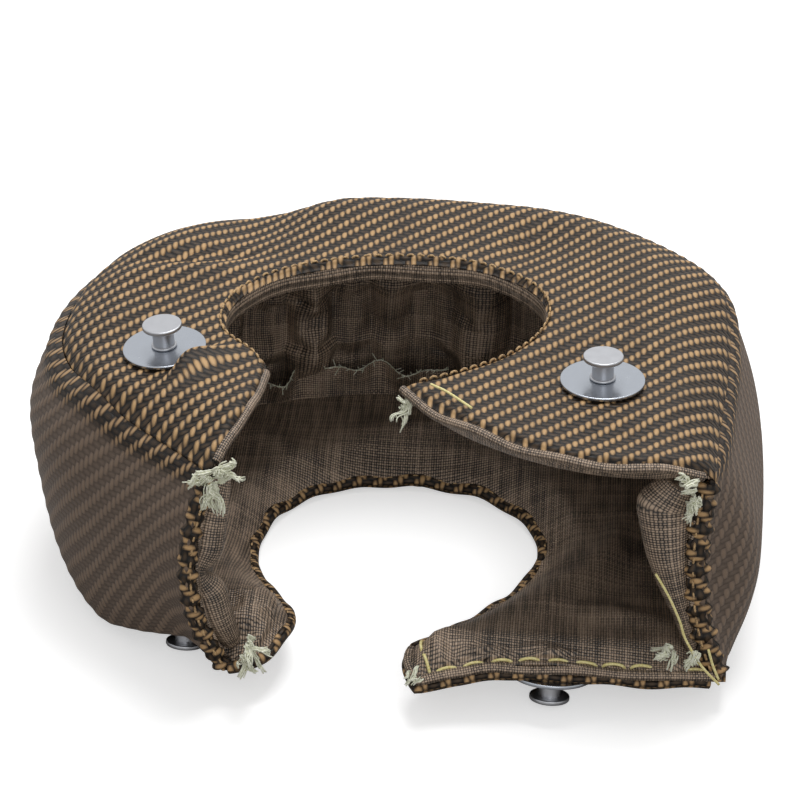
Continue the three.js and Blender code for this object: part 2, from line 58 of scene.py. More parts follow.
# Camera: a long lens 0.9 m away looks down at the open front. The jacket is drawn in
# millimetres from the middle of its round hole, and ring_middle is where that is.
ring_middle = np.array([0.718, -11.687, 0.379])
look_at = Vector((0, 25, 42))
look_down = math.radians(30)
distance = 900
camera = bpy.data.objects.new("camera", bpy.data.cameras.new("camera"))
bpy.context.collection.objects.link(camera)
camera.data.sensor_width = 36
camera.data.lens = 133.65
back = Vector((0, -math.cos(look_down), math.sin(look_down)))
camera.location = (look_at + back * distance + Vector(ring_middle)) / 1000
camera.rotation_euler = (math.pi / 2 - look_down, 0, 0)
camera.data.clip_start = 0.01
bpy.context.scene.camera = camera


# Shader wrapper: an Amount is a number on the surface, and sums on it add Math nodes. A
# Finish is one material and makes the other nodes.
class Amount:
    def __init__(self, finish, socket):
        self.finish = finish
        self.socket = socket

    def maths(self, operation, *others, first=None):
        values = [self if first is None else first, *others]
        return self.finish.node("ShaderNodeMath", {"operation": operation}, dict(enumerate(values)))

    def __add__(self, other):
        return self.maths("ADD", other)

    __radd__ = __add__

    def __mul__(self, other):
        return self.maths("MULTIPLY", other)

    __rmul__ = __mul__

    def __sub__(self, other):
        return self.maths("SUBTRACT", other)

    def __rsub__(self, other):
        return self.maths("SUBTRACT", self, first=other)

    def __mod__(self, other):
        return self.maths("FLOORED_MODULO", other)

    def __lt__(self, other):
        return self.maths("LESS_THAN", other)

    def floor(self):
        return self.maths("FLOOR")

    def sin(self):
        return self.maths("SINE")

    def ramp(self, low, high):
        return self.finish.node("ShaderNodeMapRange", {"interpolation_type": "SMOOTHSTEP"},
                                {"Value": self, "From Min": low, "From Max": high})


class Finish:
    def __init__(self, name):
        self.material = bpy.data.materials.new(name)
        self.material.use_nodes = True
        self.tree = self.material.node_tree
        self.tree.nodes.clear()

    def put(self, value, socket):
        if isinstance(value, Amount):
            self.tree.links.new(value.socket, socket)
        else:
            socket.default_value = value

    def node(self, kind, settings, values, output=0):
        made = self.tree.nodes.new(kind)
        for key, value in settings.items():
            setattr(made, key, value)
        for key, value in values.items():
            self.put(value, made.inputs[key])
        return Amount(self, made.outputs[output]) if made.outputs else None

    def mix(self, share, one, two):
        made = self.tree.nodes.new("ShaderNodeMix")
        made.data_type = "RGBA"
        for value, socket in ((share, 0), (one, 6), (two, 7)):
            self.put(value, made.inputs[socket])
        return Amount(self, made.outputs[2])

    def place(self, output):
        return self.node("ShaderNodeTexCoord", {}, {}, output)

    def parts(self, vector):
        made = self.tree.nodes.new("ShaderNodeSeparateXYZ")
        self.tree.links.new(vector.socket, made.inputs[0])
        return [Amount(self, socket) for socket in made.outputs]

    def joined(self, x, y):
        return self.node("ShaderNodeCombineXYZ", {}, {"X": x, "Y": y})

    def noise(self, vector, scale, detail=2.0, roughness=0.5):
        return self.node("ShaderNodeTexNoise", {},
                         {"Vector": vector, "Scale": scale, "Detail": detail, "Roughness": roughness})

    def chance(self, value):
        return self.node("ShaderNodeTexWhiteNoise", {"noise_dimensions": "1D"}, {"W": value})

    def surface(self, **values):
        shader = self.node("ShaderNodeBsdfPrincipled", {},
                           {key.replace("_", " "): value for key, value in values.items()})
        self.node("ShaderNodeOutputMaterial", {}, {"Surface": shader})
        return self.material


def tint(red, green, blue):
    return (*[((c + 0.055) / 1.055) ** 2.4 if c > 0.04 else c / 12.92 for c in (red, green, blue)], 1)


# Studio: a white floor and background, a broad lamp overhead and a weaker one in front. The
# floor is bright to the camera only, so it doesn't light the cloth from below.
floor_finish = Finish("white_floor")
to_camera = floor_finish.node("ShaderNodeLightPath", {}, {}, "Is Camera Ray")
lit = floor_finish.node("ShaderNodeBsdfPrincipled", {}, {
    "Base Color": (0.8, 0.8, 0.8, 1), "Roughness": 0.9,
    "Emission Color": (1, 1, 1, 1), "Emission Strength": 0.52,
})
dim = floor_finish.node("ShaderNodeBsdfPrincipled", {}, {
    "Base Color": (0.45, 0.44, 0.43, 1), "Roughness": 0.9,
})
shown = floor_finish.node("ShaderNodeMixShader", {}, {0: to_camera, 1: dim, 2: lit})
floor_finish.node("ShaderNodeOutputMaterial", {}, {"Surface": shown})
bpy.ops.mesh.primitive_plane_add(size=8)
floor = bpy.context.object
floor.name = "floor"
floor.data.materials.append(floor_finish.material)
floor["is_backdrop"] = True

world = bpy.data.worlds.new("white_room")
bpy.context.scene.world = world
world.use_nodes = True
room = world.node_tree
room.nodes.clear()
path = room.nodes.new("ShaderNodeLightPath")
seen = room.nodes.new("ShaderNodeMath")
seen.operation = "MAXIMUM"
room.links.new(path.outputs["Is Camera Ray"], seen.inputs[0])
room.links.new(path.outputs["Is Glossy Ray"], seen.inputs[1])
either = room.nodes.new("ShaderNodeMixShader")
room.links.new(seen.outputs[0], either.inputs[0])
for socket, strength in ((1, 0.42), (2, 1.0)):
    white = room.nodes.new("ShaderNodeBackground")
    white.inputs["Color"].default_value = (1, 1, 1, 1)
    white.inputs["Strength"].default_value = strength
    room.links.new(white.outputs[0], either.inputs[socket])
sky = room.nodes.new("ShaderNodeOutputWorld")
room.links.new(either.outputs[0], sky.inputs[0])

for name, place, size, power in (
    ("lamp_above", (0.1, 0.35, 1.1), 0.6, 8.5),
    ("lamp_front", (0.2, -1.2, 0.8), 0.8, 2.8),
):
    lamp = bpy.data.objects.new(name, bpy.data.lights.new(name, "AREA"))
    bpy.context.collection.objects.link(lamp)
    lamp.data.size = size
    lamp.data.energy = power
    lamp.location = place
    lamp.rotation_euler = (Vector((0, 0, 0.04)) - lamp.location).to_track_quat("-Z", "Y").to_euler()
bpy.context.scene.view_settings.view_transform = "Standard"


# Top panel cover: one sheet of coarse 2/2 twill with a round hole and a slit to the front.
# It is turned under at the hole and the slit, and sewn to the wall along its outer edge. Every
# cloth is lofted: loops side by side, each closed, with the first and the last capped.
def chain(start, *points):
    curve = []
    last = np.array(start, float)
    share = np.linspace(0, 1, 160)[1:, None]
    for one, two, end in zip(points[0::3], points[1::3], points[2::3]):
        one, two, end = (np.array(p, float) for p in (one, two, end))
        rest = 1 - share
        curve.append(last * rest**3 + 3 * one * rest**2 * share
                     + 3 * two * rest * share**2 + end * share**3)
        last = end
    return np.vstack([np.array(start, float)[None], *curve])


def runs_of(curve):
    return np.concatenate([[0], np.cumsum(np.hypot(*np.diff(curve, axis=0).T))])


def at_shares(curve, shares):
    run = runs_of(curve)
    return np.stack([np.interp(np.asarray(shares) * run[-1], run, curve[:, k]) for k in (0, 1)], -1)


def share_of(curve, place):
    run = runs_of(curve)
    return run[np.argmin(np.hypot(*(curve - place).T))] / run[-1]


def length_of(curve):
    return np.hypot(*np.diff(curve, axis=0).T).sum()


def gap_to(curve, x, y, count=150):
    line = at_shares(curve, np.linspace(0, 1, count))
    best = np.full(np.shape(x), np.inf)
    for a, b in zip(line[:-1], line[1:]):
        e = b - a
        t = np.clip(((x - a[0]) * e[0] + (y - a[1]) * e[1]) / (e @ e), 0, 1)
        best = np.minimum(best, np.hypot(x - a[0] - t * e[0], y - a[1] - t * e[1]))
    return best


def soft_edge(gap, width):
    return np.sin(np.clip(gap / width, 0, 1) * np.pi / 2)


def ease(value, low, high):
    t = np.clip((value - low) / (high - low), 0, 1)
    return t * t * (3 - 2 * t)


def blend(one, two, share):
    return one + (two - one) * share


def mound(x, y, middle, angle, length, width):
    dx, dy = x - middle[0], y - middle[1]
    a = (dx * np.cos(angle) + dy * np.sin(angle)) / length
    b = (dy * np.cos(angle) - dx * np.sin(angle)) / width
    return np.exp(-a * a - b * b)


seam_half, seam_back = 99, 98
top_left_corner, top_right_corner = (-52, -64), (86, -66)
top_left_tip, top_right_tip = (-38, -19), (1, -29)
top_seam = chain(
    top_left_corner,
    (-68, -43), (-seam_half, -18), (-seam_half, 14),
    (-seam_half, 71), (-60, seam_back), (0, seam_back),
    (52, seam_back), (seam_half - 2, 72), (seam_half - 1, 26),
    (seam_half - 1, -2), (89, -36), top_right_corner,
)
top_opening = chain(
    top_left_corner,
    (-43, -48), (-39, -36), top_left_tip,
    (-38, -6), (-51, -6), (-51, 10),
    (-51, 34), (-28, 47), (0, 47),
    (28, 47), (45, 32), (43, 12),
    (40, -9), (24, -20), top_right_tip,
    (22, -62), (62, -78), top_right_corner,
)
thread_pitch = 1.697
wale_height = 0.6
cover_thickness = 1.6
panel_turn = math.radians(-4)
wall_turn = math.radians(2)
top_level = 79
top_anchor_level = 78.2
top_edge = 72.6
washer_radius = 12
anchors = {
    "top_left": ((-67.5, -9), (-0.06, -0.02)),
    "top_right": ((57, -28), (0.0, 0.02)),
}


def dented(height, x, y, places, offset, level, width):
    seat = washer_radius + 4
    for (cx, cy), (lean_x, lean_y) in places:
        gap = np.hypot(x - cx, y - cy)
        flat = level + offset - lean_x * (x - cx) - lean_y * (y - cy)
        height = blend(height, flat, 1 - ease(gap, seat, seat + width))
    return height


def top_waves(x, y):
    return (2.2 * mound(x, y, (-2, 80), 0, 30, 22)
            + 1.8 * mound(x, y, (-66, 58), 0.9, 22, 16)
            - 3.2 * mound(x, y, (-42, 74), 0.95, 26, 12)
            - 1.4 * mound(x, y, (46, 62), 1.25, 20, 10)
            + 2.6 * mound(x, y, (54, 82), 0, 20, 18)
            + 1.6 * mound(x, y, (-22, 84), 0, 14, 16)
            + 1.0 * mound(x, y, (72, 30), 1.3, 26, 18)
            - 1.6 * mound(x, y, (62, -58), 0, 20, 12)
            - 2.4 * mound(x, y, (-62, 49), 0.15, 17, 4.5)
            + 1.2 * mound(x, y, (-58, 40), 0.15, 17, 6)
            + 1.6 * mound(x, y, (-44, -38), 1.2, 16, 8)
            - 1.2 * mound(x, y, (40, 60), 1.2, 14, 5))


def back_dip(x, y):
    return 4.5 * mound(x, y, (-46, 90), 0, 22, 22)


def top_height(x, y, to_seam):
    level = top_level + top_waves(x, y)
    edge = top_edge - back_dip(x, y) + 3.2 * mound(x, y, (97, 36), 1.5, 22, 14)
    loose = blend(edge, level, soft_edge(to_seam, 18) ** 0.85)
    loose = loose - 1.5 * np.exp(-(to_seam / 1.6) ** 2)
    return dented(loose, x, y, anchors.values(), 0, top_anchor_level, 12)


def weave_place(x, y, turn=panel_turn):
    return np.stack([(x * math.cos(turn) + y * math.sin(turn)) / thread_pitch,
                     (y * math.cos(turn) - x * math.sin(turn)) / thread_pitch], -1)


def wale_at(weave):
    return wale_height * (0.5 * np.cos((weave[..., 0] - weave[..., 1] - 0.5) * np.pi / 2) - 0.5)


def loft(name, loops, weave, finish):
    columns, around = loops.shape[:2]
    verts = ((loops + ring_middle) / 1000).reshape(-1, 3)
    i, j = np.meshgrid(np.arange(columns - 1), np.arange(around), indexing="ij")
    k = (j + 1) % around
    quads = np.stack([i * around + j, i * around + k, (i + 1) * around + k, (i + 1) * around + j], -1)
    faces = [tuple(q) for q in quads.reshape(-1, 4).tolist()]
    faces.append(tuple(range(around - 1, -1, -1)))
    faces.append(tuple((columns - 1) * around + n for n in range(around)))
    mesh = bpy.data.meshes.new(name)
    mesh.from_pydata(verts.tolist(), [], faces)
    corner_uv = mesh.uv_layers.new(name="weave")
    vertex = np.empty(len(mesh.loops), np.int32)
    mesh.loops.foreach_get("vertex_index", vertex)
    corner_uv.data.foreach_set("uv", weave.reshape(-1, 2)[vertex].astype(np.float32).ravel())
    mesh.polygons.foreach_set("use_smooth", np.ones(len(mesh.polygons), bool))
    mesh.materials.append(finish)
    mesh.update()
    corners = verts[np.array(faces[:-2])]
    if np.einsum("ij,ij->i", corners[:, 0], np.cross(corners[:, 1], corners[:, 2])).sum() \
            + np.einsum("ij,ij->i", corners[:, 0], np.cross(corners[:, 2], corners[:, 3])).sum() < 0:
        mesh.flip_normals()
    piece = bpy.data.objects.new(name, mesh)
    bpy.context.collection.objects.link(piece)
    return piece


def twill(finish, u, v):
    column, row = u.floor(), v.floor()
    warp_run = (v - column + 1) % 4
    weft_run = (u - row + 2) % 4
    warp_up = warp_run < 2
    warp = ((u % 1) * math.pi).sin() * 0.55 + (warp_run * (math.pi / 2)).sin() * 0.45
    weft = ((v % 1) * math.pi).sin() * 0.55 + (weft_run * (math.pi / 2)).sin() * 0.45
    height = warp_up * (warp * 0.75 + 0.25) + (1 - warp_up) * weft * 0.5
    strands = finish.noise(finish.joined(u * 9, v * 0.9), 1.0) * warp_up \
        + finish.noise(finish.joined(u * 0.9, v * 9), 1.0) * (1 - warp_up)
    return height, warp_up, strands, column, row


def twill_finish(name, gap, dull, bright, relief=0.0007, grazing_sheen=0.0, low_edge=None):
    finish = Finish(name)
    u, v, _ = finish.parts(finish.place("UV"))
    height, warp_up, strands, column, row = twill(finish, u, v)
    patch = finish.noise(finish.joined(u, v), 0.07, 3.0)
    yarn = finish.chance(column) * warp_up + finish.chance(row + 0.5) * (1 - warp_up)
    # The crown term pushes the tops of the floats towards the bright colour: a painted highlight over
    # the warp's own tan.
    crown_highlight = height.ramp(0.5, 1.0)
    share = crown_highlight * 0.75 + strands * 0.5 + yarn * 0.25 + patch * 0.5 - 0.55
    thread = finish.mix(share.ramp(0.0, 1.0) * (warp_up * 0.85 + 0.15), dull, bright)
    # The gap colour fills the low parts of the weave between the yarns: painted shade in the gaps.
    colour = finish.mix(height.ramp(0.24, 0.66), gap, thread)
    lift = height
    if low_edge is not None:
        # Below low_edge the weave turns a flat grey with less relief: painted grazing sheen on the
        # lower wall.
        rise = v * math.cos(wall_turn) + u * math.sin(wall_turn)
        flat = (1 - (rise + patch * 2).ramp(low_edge - 3, low_edge)) * grazing_sheen
        sheen_grey = finish.mix(height.ramp(0.1, 0.8) * 0.6 + strands * 0.3, tint(0.29, 0.245, 0.21),
                          tint(0.51, 0.44, 0.385))
        colour = finish.mix(flat, colour, sheen_grey)
        lift = height * (1 - flat * 0.6)
    bump = finish.node("ShaderNodeBump", {}, {"Height": lift + strands * 0.18,
                                              "Distance": relief, "Strength": 1.0})
    return finish.surface(Base_Color=colour, Normal=bump, Roughness=0.46, Specular_IOR_Level=0.22)


# gap is painted shade between the yarns; bright is the tan of the warp with a painted highlight on the
# float crowns.
cover_finish = twill_finish("coarse_twill", tint(0.06, 0.043, 0.03), tint(0.33, 0.265, 0.20),
                            tint(0.78, 0.635, 0.455))
columns = 760
rows = 88


def matched(seam, opening, keys, count):
    shares = np.linspace(0, 1, count)
    seam_keys = [0, *[share_of(seam, a) for a, _ in keys], 1]
    opening_keys = [0, *[share_of(opening, b) for _, b in keys], 1]
    return at_shares(seam, shares), at_shares(opening, np.interp(shares, seam_keys, opening_keys))


top_keys = [((-92, -14), top_left_tip), ((0, seam_back), (0, 47)), ((95, -12), top_right_tip)]
outer, inner = matched(top_seam, top_opening, top_keys, columns)
face = np.linspace(0, 1, rows)
under = np.array([1, 0.97, 0.9, 0.7, 0.4, 0.15, 0.03, 0])
share = np.concatenate([face, under])[None, :, None]
plan = outer[:, None] * (1 - share) + inner[:, None] * share
x, y = plan[..., 0], plan[..., 1]
to_seam, to_opening = gap_to(top_seam, x, y), gap_to(top_opening, x, y)
weave = weave_place(x, y)
rim_roll = 2.6
roll = rim_roll - np.sqrt(np.maximum(0, rim_roll**2 - np.maximum(0, rim_roll - to_opening) ** 2))
height = top_height(x, y, to_seam)
on_face = np.arange(rows + len(under)) < rows
lap = mound(x, y, (-56, -19), 0.85, 10, 4.5)
x, y, height = x - 3.9 * lap, y + 3.4 * lap, height + 3.2 * lap
height = np.where(on_face, height + wale_at(weave) * 0.6 - roll,
                  height - np.maximum(cover_thickness, roll))
top_cover = loft("top_cover_cloth", np.stack([x, y, height], -1), weave, cover_finish)
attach(top_cover, "root")
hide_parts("top_cover")


# Thread on the top panel: a row of tan stitches holds the turned-in cloth round the hole,
# and each stitch dips into the cloth at both ends.
edge_points = 900


def edge_line(seam, opening, keys, part, inset, height):
    outer, inner = matched(seam, opening, keys, edge_points)
    shares = np.linspace(0, 1, edge_points)
    low, high = (share_of(seam, place) for place in (keys[0][0], keys[-1][0]))
    kept = {"left": shares < low, "hole": (shares >= low) & (shares <= high),
            "right": shares > high}[part]
    way = outer - inner
    reach = np.maximum(np.hypot(*way.T), 1e-6)
    kept &= reach > 5
    plan = (inner + way / reach[:, None] * inset)[kept]
    x, y = plan.T
    return np.column_stack([x, y, height(x, y, gap_to(seam, x, y), gap_to(opening, x, y))])


def runs_in_space(line):
    return np.concatenate([[0], np.cumsum(np.linalg.norm(np.diff(line, axis=0), axis=1))])


def along(line, runs):
    done = runs_in_space(line)
    return np.stack([np.interp(runs, done, line[:, k]) for k in range(3)], -1)


def reach_of(line):
    return np.linalg.norm(np.diff(line, axis=0), axis=1).sum()


def sewn(line, long, gap, lift=(0, 0, 1), rise=0.3, dip=0.7):
    stitches = []
    start = gap
    while start + long < reach_of(line):
        share = np.linspace(0, 1, 9)
        bow = np.sin(np.pi * share) ** 0.5 * (rise + dip) - dip
        stitches.append(along(line, start + share * long) + bow[:, None] * np.array(lift))
        start += long + gap * chance.uniform(0.8, 1.25)
    return stitches


def strands(name, lines, radius, finish, sides=6):
    verts, faces = [], []
    turn = np.arange(sides) * 2 * np.pi / sides
    for line in lines:
        way = np.gradient(line, axis=0)
        way /= np.maximum(np.linalg.norm(way, axis=1), 1e-9)[:, None]
        side = np.cross(way, (0.31, 0.17, 0.94))
        side /= np.maximum(np.linalg.norm(side, axis=1), 1e-9)[:, None]
        up = np.cross(side, way)
        ring = line[:, None] + radius * (side[:, None] * np.cos(turn)[:, None]
                                         + up[:, None] * np.sin(turn)[:, None])
        first = sum(len(v) for v in verts)
        verts.append(ring.reshape(-1, 3))
        for i in range(len(line) - 1):
            for j in range(sides):
                k = (j + 1) % sides
                a = first + i * sides
                faces.append((a + j, a + k, a + sides + k, a + sides + j))
        faces.append(tuple(first + j for j in range(sides - 1, -1, -1)))
        faces.append(tuple(first + (len(line) - 1) * sides + j for j in range(sides)))
    mesh = bpy.data.meshes.new(name)
    mesh.from_pydata(((np.concatenate(verts) + ring_middle) / 1000).tolist(), [], faces)
    mesh.polygons.foreach_set("use_smooth", np.ones(len(mesh.polygons), bool))
    mesh.materials.append(finish)
    mesh.flip_normals()
    piece = bpy.data.objects.new(name, mesh)
    bpy.context.collection.objects.link(piece)
    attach(piece, "root")
    return piece


def thread_finish(name, dark, light):
    finish = Finish(name)
    spot = finish.place("Object")
    grain = finish.noise(spot, 1500.0, 3.0, 0.6)
    colour = finish.mix(grain.ramp(0.3, 0.7), dark, light)
    bump = finish.node("ShaderNodeBump", {}, {"Height": grain, "Distance": 0.0002, "Strength": 1.0})
    return finish.surface(Base_Color=colour, Normal=bump, Roughness=0.6)


def below_top(drop):
    return lambda x, y, to_seam, to_opening: top_height(x, y, to_seam) - drop


chance = np.random.default_rng(7)
tan_thread = thread_finish("tan_thread", tint(0.50, 0.39, 0.27), tint(0.86, 0.72, 0.52))
yellow_thread = thread_finish("yellow_thread", tint(0.86, 0.80, 0.50), tint(0.99, 0.95, 0.72))
pale_thread = thread_finish("pale_fray", tint(0.87, 0.88, 0.77), tint(0.98, 0.98, 0.92))
rim_line = edge_line(top_seam, top_opening, top_keys, "hole", 1.9, below_top(0.1))
strands("top_hole_stitches", sewn(rim_line, 2.2, 1.1, rise=0.1), 0.34, tan_thread)


# Top panel felt: a needled pad cut short of the sewn edges, hidden between the two cloths.
def felt_finish(name):
    finish = Finish(name)
    spot = finish.place("Object")
    fibres = finish.noise(spot, 900.0, 6.0, 0.7)
    colour = finish.mix(fibres.ramp(0.3, 0.7), tint(0.66, 0.63, 0.57), tint(0.80, 0.78, 0.72))
    bump = finish.node("ShaderNodeBump", {}, {"Height": fibres, "Distance": 0.0004, "Strength": 1.0})
    return finish.surface(Base_Color=colour, Normal=bump, Roughness=0.95)


felt = felt_finish("needled_felt")
lining_thickness = 0.9
top_lining_level = 70.4
rim_width = 5
felt_columns, felt_rows = 240, 24


def top_lining_top(x, y, to_seam, to_opening):
    edge = top_edge - 1.8 - back_dip(x, y)
    inner = blend(edge, top_lining_level, soft_edge(to_seam, 18))
    cover = top_height(x, y, to_seam) - 2.9
    return np.minimum(blend(cover, inner, soft_edge(to_opening, rim_width)), cover)


def narrowed(outer, inner, from_seam, from_opening):
    span = inner - outer
    reach = np.maximum(np.hypot(*span.T), 1e-6)[:, None]
    kept = reach[:, 0] > (from_seam + from_opening) * 1.3
    way = span / reach
    return (outer + way * from_seam)[kept], (inner - way * from_opening)[kept]


def panel_loops(outer, inner, seam, opening, face_rows, face_height, back_height):
    back_share = np.array([1, 0.97, 0.88, 0.7, 0.5, 0.3, 0.12, 0.03, 0])
    share = np.concatenate([np.linspace(0, 1, face_rows), back_share])[None, :, None]
    plan = outer[:, None] * (1 - share) + inner[:, None] * share
    x, y = plan[..., 0], plan[..., 1]
    to_seam, to_opening = gap_to(seam, x, y), gap_to(opening, x, y)
    on_face = np.arange(share.shape[1]) < face_rows
    height = np.where(on_face, face_height(x, y, to_seam, to_opening),
                      back_height(x, y, to_seam, to_opening))
    return np.stack([x, y, height], -1)


felt_outer, felt_inner = narrowed(*matched(top_seam, top_opening, top_keys, felt_columns), 7, 5)
top_felt_loops = panel_loops(
    felt_outer, felt_inner, top_seam, top_opening, felt_rows, below_top(2.1),
    lambda x, y, to_seam, to_opening: top_lining_top(x, y, to_seam, to_opening) + 0.2,
)
top_felt = loft("top_felt_pad", top_felt_loops, top_felt_loops[..., :2], felt)
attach(top_felt, "root")
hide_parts("top_insulation")


# Top panel lining: fine plain cloth. It faces the housing, and turns up round the hole to
# meet the cover at the rim.
fine_per_coarse = 2.26


def plain_weave_finish(name, dark, light):
    finish = Finish(name)
    u, v, _ = finish.parts(finish.place("UV"))
    u, v = u * fine_per_coarse, v * fine_per_coarse
    column, row = u.floor(), v.floor()
    odd = (column + row) % 2
    across = ((u % 1) * math.pi).sin()
    along = ((v % 1) * math.pi).sin()
    over = odd * across * (along * 0.5 + 0.5) + (1 - odd) * along * (across * 0.5 + 0.5)
    yarn = finish.chance(column) * odd + finish.chance(row + 0.5) * (1 - odd)
    patch = finish.noise(finish.joined(u, v), 0.05, 4.0)
    sheen_streak = finish.noise(finish.joined(u * 0.4, v * 0.04), 1.0, 2.0)
    # The broad patch and streak noises spread the cloth between dark and light: painted satin sheen and
    # shade.
    share = over * 0.85 + yarn * 0.35 + patch * 0.8 + sheen_streak * 0.7 - 0.95
    colour = finish.mix(share.ramp(0.0, 1.0), dark, light)
    bump = finish.node("ShaderNodeBump", {}, {"Height": over, "Distance": 0.0002, "Strength": 1.0})
    return finish.surface(Base_Color=colour, Normal=bump, Roughness=0.38, Specular_IOR_Level=0.5)


lining_finish = plain_weave_finish("fine_plain_cloth", tint(0.06, 0.05, 0.042),
                                   tint(0.76, 0.665, 0.575))
lining_outer, lining_inner = narrowed(*matched(top_seam, top_opening, top_keys, 520), 2.6, 0.3)
top_lining_loops = panel_loops(
    lining_outer, lining_inner, top_seam, top_opening, 60,
    lambda x, y, to_seam, to_opening: top_lining_top(x, y, to_seam, to_opening) - lining_thickness,
    top_lining_top,
)
top_lining = loft("top_lining_cloth", top_lining_loops,
                  weave_place(top_lining_loops[..., 0], top_lining_loops[..., 1]), lining_finish)
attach(top_lining, "root")
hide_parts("top_lining")


# Rolled edges of the top lining: it shows as a collar under the rim of the hole and as a thin
# piping along the two ends of the panel.
def rolled(name, line, wide, tall, finish, lead=(0, 0, 1), sides=20):
    way = np.gradient(line, axis=0)
    way /= np.linalg.norm(way, axis=1)[:, None]
    side = np.cross(way, lead)
    side /= np.linalg.norm(side, axis=1)[:, None]
    up = np.cross(side, way)
    turn = np.arange(sides) * 2 * np.pi / sides
    wide, tall = np.broadcast_to(wide, len(line)), np.broadcast_to(tall, len(line))
    loops = line[:, None] + side[:, None] * (wide[:, None] * np.cos(turn))[..., None] \
        + up[:, None] * (tall[:, None] * np.sin(turn))[..., None]
    girth = turn * (wide.mean() + tall.mean()) / 2
    weave = np.stack(np.broadcast_arrays(runs_in_space(line)[:, None], girth[None]), -1) / thread_pitch
    piece = loft(name, loops, weave, finish)
    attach(piece, "root")
    return piece


def wavy(line, height, length, phase=0.0):
    run = np.linspace(0, reach_of(line), len(line))
    wave = np.sin(run * 2 * np.pi / length + phase) + 0.5 * np.sin(run * 4.7 / length + 2 * phase)
    return line + np.array([0, 0, 1]) * (height * wave)[:, None]


collar = edge_line(top_seam, top_opening, top_keys, "hole", 0.9, below_top(5.2))
rolled("top_hole_collar", wavy(collar, 0.35, 33)[::2], 0.9, 3.2, lining_finish)
left_edge = edge_line(top_seam, top_opening, top_keys, "left", 0.3, below_top(3.1))
rolled("top_left_piping", wavy(left_edge, 0.3, 17), 1.5, 1.7, lining_finish)
right_edge = edge_line(top_seam, top_opening, top_keys, "right", -0.3, below_top(3.1))
rolled("top_right_piping", wavy(right_edge, 0.5, 27, 1.0), 1.3, 1.35, lining_finish)


# Bottom panel cover: the same twill, lying on the floor at the back and carried on the two
# lower capstans at the front.
lower_tilt = math.radians(14)
capstan_reach = 8.8
head_radius = 5.35
support_lift = capstan_reach * math.cos(lower_tilt) + head_radius * math.sin(lower_tilt)
ramp_power = 1.3
ramp_length = ramp_power * support_lift / math.tan(lower_tilt)
bottom_left_anchor, bottom_right_anchor = np.array([-61.5, -43.5]), np.array([42.5, -70.5])
support_way = bottom_right_anchor - bottom_left_anchor
support_way = support_way / np.hypot(*support_way)
bottom_left_corner, bottom_right_corner = (-49, -70), (91, -75)
bottom_left_tip, bottom_right_tip, bottom_right_point = (-31, -50), (3, -66), (4, -80)
bottom_seam = chain(
    bottom_left_corner,
    (-75, -47), (-102, -27), (-100, 12),
    (-100, 72), (-60, seam_back), (0, seam_back),
    (52, seam_back), (98, 71), (99, 24),
    (100, -6), (95, -43), bottom_right_corner,
)
bottom_opening = chain(
    bottom_left_corner,
    (-40, -74), (-32, -63), bottom_left_tip,
    (-31, -36), (-43, -24), (-44, -5),
    (-46, 26), (-27, 44), (0, 42),
    (27, 42), (46, 20), (43, -3),
    (36, -26), (14, -53), bottom_right_tip,
    (0, -72), (2, -76), bottom_right_point,
    (30, -74), (72, -82), bottom_right_corner,
)


def lie_height(x, y):
    ahead = (x - bottom_left_anchor[0]) * support_way[1] - (y - bottom_left_anchor[1]) * support_way[0]
    ahead = np.minimum(ahead, 30)
    front = support_lift + math.tan(lower_tilt) * ahead - 0.0145 * ahead**2
    rear = support_lift * np.maximum(0, 1 + np.minimum(ahead, 0) / ramp_length) ** ramp_power
    sag = 5 * mound(x, y, (-83.5, -53.5), 0, 16, 16)
    return np.maximum(0, np.where(ahead > 0, front, rear) - sag)


low_lean = (-math.tan(lower_tilt) * support_way[1], math.tan(lower_tilt) * support_way[0])
low_places = [(tuple(bottom_left_anchor), low_lean), (tuple(bottom_right_anchor), low_lean)]


def bottom_base(x, y):
    return lie_height(x, y) + cover_thickness + blend(2.8, 0.2, ease(-y, -21, 62))


def bottom_top(x, y, to_seam):
    loose = blend(bottom_base(x, y) - 0.15, lie_height(x, y) + cover_thickness, soft_edge(to_seam, 13))
    return dented(loose, x, y, low_places, cover_thickness, support_lift, 11)


def over_bottom(rise):
    return lambda x, y, to_seam, to_opening: bottom_top(x, y, to_seam) + rise


bottom_keys = [((-92, -22), bottom_left_tip), ((0, seam_back), (0, 42)), ((95, -34), bottom_right_tip)]
outer, inner = matched(bottom_seam, bottom_opening, bottom_keys, 620)
bottom_cover_loops = panel_loops(
    outer, inner, bottom_seam, bottom_opening, 70,
    lambda x, y, to_seam, to_opening: bottom_top(x, y, to_seam) - cover_thickness
    - wale_at(weave_place(x, y)) - 0.3 + 1.2 * (1 - soft_edge(to_opening, 2.5)),
    over_bottom(0),
)
bottom_cover = loft("bottom_cover_cloth", bottom_cover_loops,
                    weave_place(bottom_cover_loops[..., 0], bottom_cover_loops[..., 1]), cover_finish)
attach(bottom_cover, "root")
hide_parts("bottom_cover")


# Bottom panel felt: the pad lies on the cover, thins out towards the hole and rises over the
# backs of the two lower capstans.
def bottom_fill(x, y, to_seam, to_opening):
    inner = blend(bottom_base(x, y) + 0.15, lie_height(x, y) + 10, soft_edge(to_seam, 17))
    cover = bottom_top(x, y, to_seam)
    height = blend(cover + 0.3, inner, soft_edge(to_opening, 12))
    for cx, cy in (bottom_left_anchor, bottom_right_anchor):
        over = 1 - ease(np.hypot(x - cx, y - cy), 7, 21)
        height = np.maximum(height, cover + 0.3 + 2.5 * over)
    return np.maximum(height, cover + 0.3)


